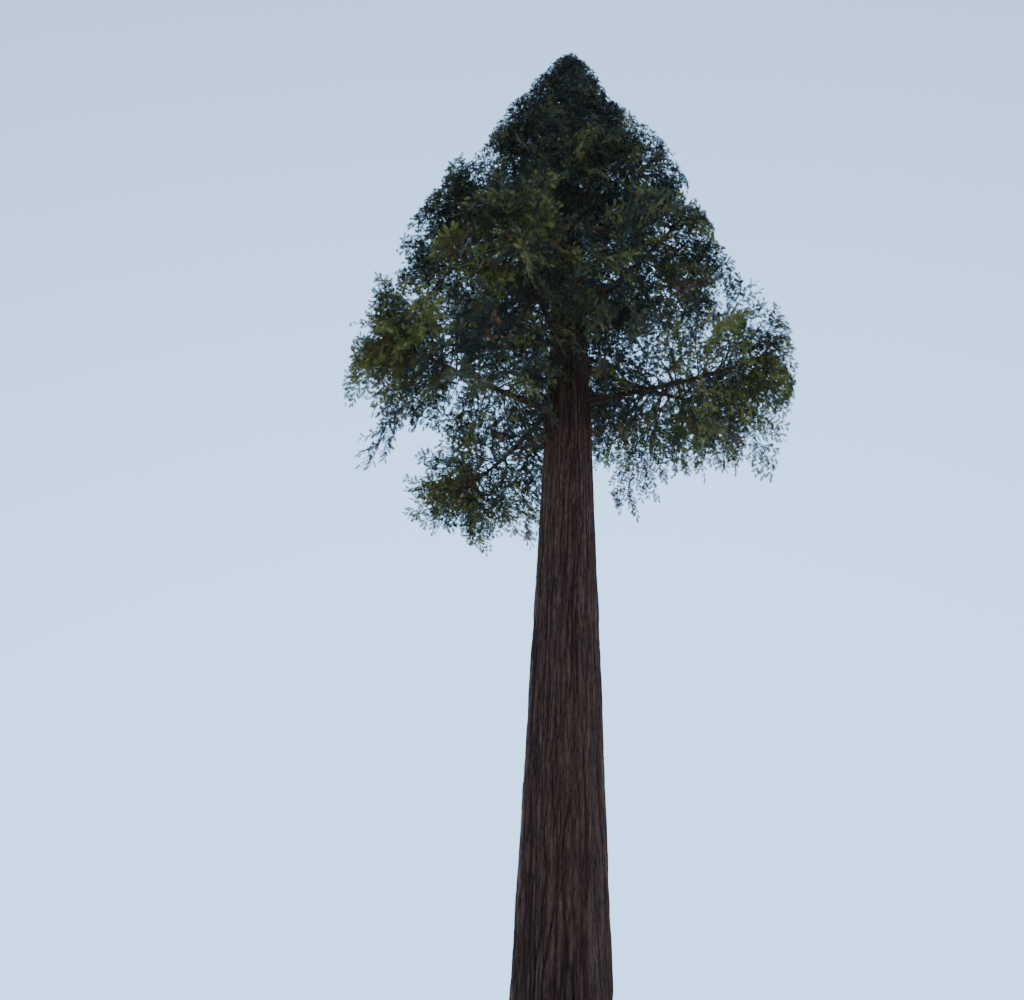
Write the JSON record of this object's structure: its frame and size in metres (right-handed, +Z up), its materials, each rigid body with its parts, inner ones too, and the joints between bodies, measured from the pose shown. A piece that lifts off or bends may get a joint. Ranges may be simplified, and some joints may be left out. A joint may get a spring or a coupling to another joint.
{
  "type": "redwood tree",
  "caption": "Tall whole redwood tree with a straight tapering trunk, root flare, spiral boughs and masses of leafy sprays in a slim crown.",
  "frame": {"origin": "centre of the flat cut under the trunk, at ground level", "axes": "+Z up along the trunk, +Y away from the picture's camera, +X to its right"},
  "size_m": [9.699, 8.5436, 39.8392],
  "materials": {
    "bark": "matt fibrous bark with long upright ridges and furrows",
    "bough_bark": "matt thin flaking bark",
    "foliage": "satin leafy sprays, dark green to yellow-green with a few russet ones"
  },
  "bodies": {
    "root": {"trunk": "bark", "bough_01": "bough_bark", "bough_02": "bough_bark", "bough_03": "bough_bark", "bough_04": "bough_bark", "bough_05": "bough_bark", "bough_06": "bough_bark", "bough_07": "bough_bark", "bough_08": "bough_bark", "bough_09": "bough_bark", "bough_10": "bough_bark", "bough_11": "bough_bark", "bough_12": "bough_bark", "bough_13": "bough_bark", "bough_14": "bough_bark", "bough_15": "bough_bark", "bough_16": "bough_bark", "bough_17": "bough_bark", "bough_18": "bough_bark", "bough_19": "bough_bark", "bough_20": "bough_bark", "bough_21": "bough_bark", "bough_22": "bough_bark", "bough_left": "bough_bark", "foliage_01": "foliage", "foliage_02": "foliage", "foliage_03": "foliage", "foliage_04": "foliage", "foliage_05": "foliage", "foliage_06": "foliage", "foliage_07": "foliage", "foliage_08": "foliage", "foliage_09": "foliage", "foliage_10": "foliage", "foliage_11": "foliage", "foliage_12": "foliage", "foliage_13": "foliage", "foliage_14": "foliage", "foliage_15": "foliage", "foliage_16": "foliage", "foliage_17": "foliage", "foliage_18": "foliage", "foliage_19": "foliage", "foliage_20": "foliage", "foliage_21": "foliage", "foliage_22": "foliage", "foliage_23": "foliage", "foliage_24": "foliage", "foliage_25": "foliage", "foliage_26": "foliage", "foliage_27": "foliage", "foliage_28": "foliage", "foliage_29": "foliage", "foliage_30": "foliage", "foliage_31": "foliage", "foliage_32": "foliage", "foliage_33": "foliage", "foliage_left": "foliage", "foliage_leader": "foliage"}
  },
  "joints": []
}
